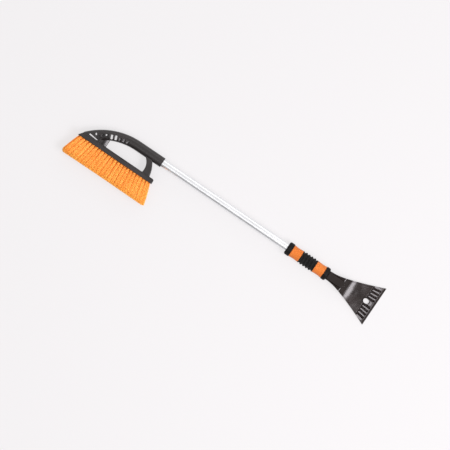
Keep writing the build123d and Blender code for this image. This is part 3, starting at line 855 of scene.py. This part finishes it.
def model_filament():
    """A rod of unit length along Z, whose four long edges are cut into spans so that it can bend."""
    bpy.ops.object.select_all(action="DESELECT")
    bpy.ops.mesh.primitive_cylinder_add(vertices=4, radius=1.0, depth=1.0, location=(0, 0, 0.5))
    rod = bpy.context.object
    bpy.ops.object.transform_apply(location=True)
    bpy.context.tool_settings.mesh_select_mode = EDGES_ONLY
    bpy.ops.object.mode_set(mode="EDIT")
    bpy.ops.mesh.select_all(action="DESELECT")
    bpy.ops.object.mode_set(mode="OBJECT")
    for edge in rod.data.edges:
        first, second = (rod.data.vertices[i].co for i in edge.vertices)
        edge.select = first.z != second.z
    bpy.ops.object.mode_set(mode="EDIT")
    bpy.ops.mesh.subdivide(number_cuts=FILAMENT_SPANS - 1)
    bpy.ops.object.mode_set(mode="OBJECT")
    corners = np.array([vertex.co[:] for vertex in rod.data.vertices])
    faces = [tuple(face.vertices) for face in rod.data.polygons]
    bpy.data.objects.remove(rod)
    return corners, faces


rod_corners, rod_faces = model_filament()
print("a filament has", len(rod_faces), "faces")

# %% [markdown]
# ### Where the tufts are
#
# A row's CAD node holds a separate solid for each tuft. Taking a merged copy apart by its
# connected points gives the solids back, and the two ends of each solid give the tuft's root,
# its tip and its radii.

# %% Reading the tufts
SAME_POINT = 1e-6
END_SLICE = 0.1 * MM


def connected_points(mesh):
    """The points of each solid of the mesh, one array for each."""
    solids, seen = [], set()
    for first in mesh.verts:
        if first in seen:
            continue
        seen.add(first)
        solid, waiting = [], [first]
        while waiting:
            vertex = waiting.pop()
            solid.append(vertex.co.copy())
            others = [edge.other_vert(vertex) for edge in vertex.link_edges]
            for other in others:
                if other not in seen:
                    seen.add(other)
                    waiting.append(other)
        solids.append(np.array(solid))
    return solids


def tuft_ends(points):
    """Root, tip, root radius and tip radius of the tuft with these points."""
    line = np.linalg.svd(points - points.mean(0), full_matrices=False)[2][0]
    line = line if line[1] < 0 else -line
    reach = points @ line
    ends = [points[reach < reach.min() + END_SLICE], points[reach > reach.max() - END_SLICE]]
    root, tip = (end.mean(0) for end in ends)
    radii = [np.linalg.norm(end - end.mean(0), axis=1).max() for end in ends]
    return root, tip, *radii


def read_tufts(node_name):
    """The ends of every tuft in a row, from the outer end of the bar to the shaft's end."""
    mesh = bmesh.new()
    mesh.from_mesh(frame["nodes"][node_name].data)
    bmesh.ops.remove_doubles(mesh, verts=mesh.verts, dist=SAME_POINT)
    tufts = [tuft_ends(points) for points in connected_points(mesh)]
    mesh.free()
    return sorted(tufts, key=lambda tuft: tuft[0][0])


print("tufts in each row", [len(read_tufts(f"tufts_row_{number}")) for number in (1, 2, 3, 4)])

# %% [markdown]
# ### The path of one filament
#
# The filaments of a tuft are placed as seeds in a sunflower, which fills a circle evenly. Each
# runs from its seed in the hole to the same seed in the tuft's wider tip, with a little
# scatter and a slight bow. A tip that would pass the row's ends or go below the floor is turned
# back. At the outer end of the bar the tips are trimmed to a round corner. All random choices
# come from one seeded generator, so every run grows the same brush.

# %% One filament's path
FILAMENTS = 120
TIP_SPREAD = 1.2  # the tuft's tip is fuller than its plain solid
OPENING = 0.58  # below 1, a tuft opens out soon after it leaves its hole
TIP_SCATTER = 1.1 * MM
TRIM_SCATTER = 0.35 * MM
BOW = 0.5 * MM
TAPER = 0.15
CORNER_ROUND = 9 * MM
GOLDEN_TURN = pi * (3 - 5 ** 0.5)

rod_heights = rod_corners[:, 2:3]
bottom, top = cad_box[0][2] + 2 * FILAMENT_RADIUS, cad_box[1][2] - 2 * FILAMENT_RADIUS


def place_tip(end, line, left, right):
    """Turn a tip back inside the row's ends and the tool's height, then trim the outer corner."""
    end[0] += 2 * (max(left - end[0], 0) - max(end[0] - right, 0))
    end[2] += 2 * (max(bottom - end[2], 0) - max(end[2] - top, 0))
    return end - line * end_drop(max(end[0] - left, 0), CORNER_ROUND)


def bend_filament(rng, tuft, seed, left, right):
    """The rod's corners, moved onto the path of this seed of the tuft."""
    root, tip, root_radius, tip_radius = tuft
    line = (tip - root) / np.linalg.norm(tip - root)
    aside = np.cross(line, (0, 0, 1.0))
    aside /= np.linalg.norm(aside)
    upward = np.cross(aside, line)
    turn = seed * GOLDEN_TURN
    outward = cos(turn) * aside + sin(turn) * upward
    ring = ((seed + 0.5) / FILAMENTS) ** 0.5
    start = root + outward * ring * (root_radius - FILAMENT_RADIUS)
    scatter = rng.normal(0, TIP_SCATTER, 2)
    end = tip + outward * ring * tip_radius * TIP_SPREAD
    end = end + aside * scatter[0] + upward * scatter[1] + line * rng.normal(0, TRIM_SCATTER)
    end = place_tip(end, line, left, right)
    bow = aside * rng.normal(0, BOW) + upward * rng.normal(0, BOW)
    t = rod_heights
    opened = t ** OPENING
    core = root + (tip - root) * t
    spine = core + (start - root) * (1 - opened) + (end - tip) * opened + bow * 4 * t * (1 - t)
    spin = rng.uniform(0, tau)
    flat_x = rod_corners[:, 0:1] * cos(spin) - rod_corners[:, 1:2] * sin(spin)
    flat_y = rod_corners[:, 0:1] * sin(spin) + rod_corners[:, 1:2] * cos(spin)
    return spine + (flat_x * aside + flat_y * upward) * FILAMENT_RADIUS * (1 - TAPER * t)


# %% [markdown]
# ### Growing the rows
#
# A row is one mesh, put together from its filaments' points and faces in one go, which takes a
# second where joining thousands of objects would take minutes. Each point also carries how far
# along its filament it is, and its filament's own shade, for the finish to read.

# %% Growing the rows
SEED = 7
TUFT_SHADES = 0.12  # how far a whole tuft may be lighter or darker
USUAL_SHADE, SHADE_SCATTER = 0.66, 0.15


def bristle_mesh(name, corners, faces, numbers):
    """A mesh of these filaments that carries a number per point for each named layer."""
    mesh = bpy.data.meshes.new(name)
    mesh.from_pydata(np.concatenate(corners).tolist(), [], faces)
    for layer_name, values in numbers.items():
        layer = mesh.attributes.new(layer_name, "FLOAT", "POINT")
        layer.data.foreach_set("value", np.concatenate(values).astype(np.float32))
    mesh.shade_smooth()
    mesh.update()
    return mesh


def grow_row(number):
    """The filaments of one row of tufts, as one piece."""
    rng = np.random.default_rng(SEED + number)
    node_name = f"tufts_row_{number}"
    left, right = (corner[0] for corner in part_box(node_name))
    corners, faces, along_values, shade_values = [], [], [], []
    for tuft in read_tufts(node_name):
        tuft_shade = rng.uniform(-TUFT_SHADES, TUFT_SHADES)
        for seed in range(FILAMENTS):
            offset = len(corners) * len(rod_corners)
            corners.append(bend_filament(rng, tuft, seed, left, right))
            faces.extend(tuple(index + offset for index in face) for face in rod_faces)
            along_values.append(rod_heights[:, 0])
            own_shade = np.clip(rng.normal(USUAL_SHADE, SHADE_SCATTER) + tuft_shade, 0, 1)
            shade_values.append(np.full(len(rod_corners), own_shade))
    numbers = {"along": along_values, "shade": shade_values}
    mesh = bristle_mesh(f"bristles_row_{number}", corners, faces, numbers)
    piece = bpy.data.objects.new(mesh.name, mesh)
    bpy.context.scene.collection.objects.link(piece)
    dress(piece, filament)
    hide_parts(node_name)
    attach(piece, "root")
    print(mesh.name, triangles(piece), "triangles")


for number in (1, 2, 3, 4):
    grow_row(number)

# %% [markdown]
# ## The floor
#
# A pale table that is lit from inside, as for catalogue work, so that the tool's shadows stay
# faint. Most of its brightness is its own light, and the rest is what it gives back.

# %% Floor
FLOOR_SIZE = 12.0
OWN_LIGHT = 0.765  # the share of the backdrop's brightness that the table gives off itself

table_top, tree, sockets = start_material("light_table", Roughness=0.9, Specular_IOR_Level=0.1)
fibre = noise(tree, 400.0, 5.0, ALL_WAYS, (-700, 0))
tree.links.new(mix(tree, fibre, (0.145, 0.142, 0.143), (0.155, 0.152, 0.153)), sockets["Base Color"])
sockets["Emission Color"].default_value = (*BACKDROP, 1.0)
sockets["Emission Strength"].default_value = OWN_LIGHT
bpy.ops.object.select_all(action="DESELECT")
bpy.ops.mesh.primitive_plane_add(size=FLOOR_SIZE, location=(0, 0, 0))
floor = bpy.context.object
floor.name = "floor"
dress(floor, table_top)
print("floor", FLOOR_SIZE, "m wide")
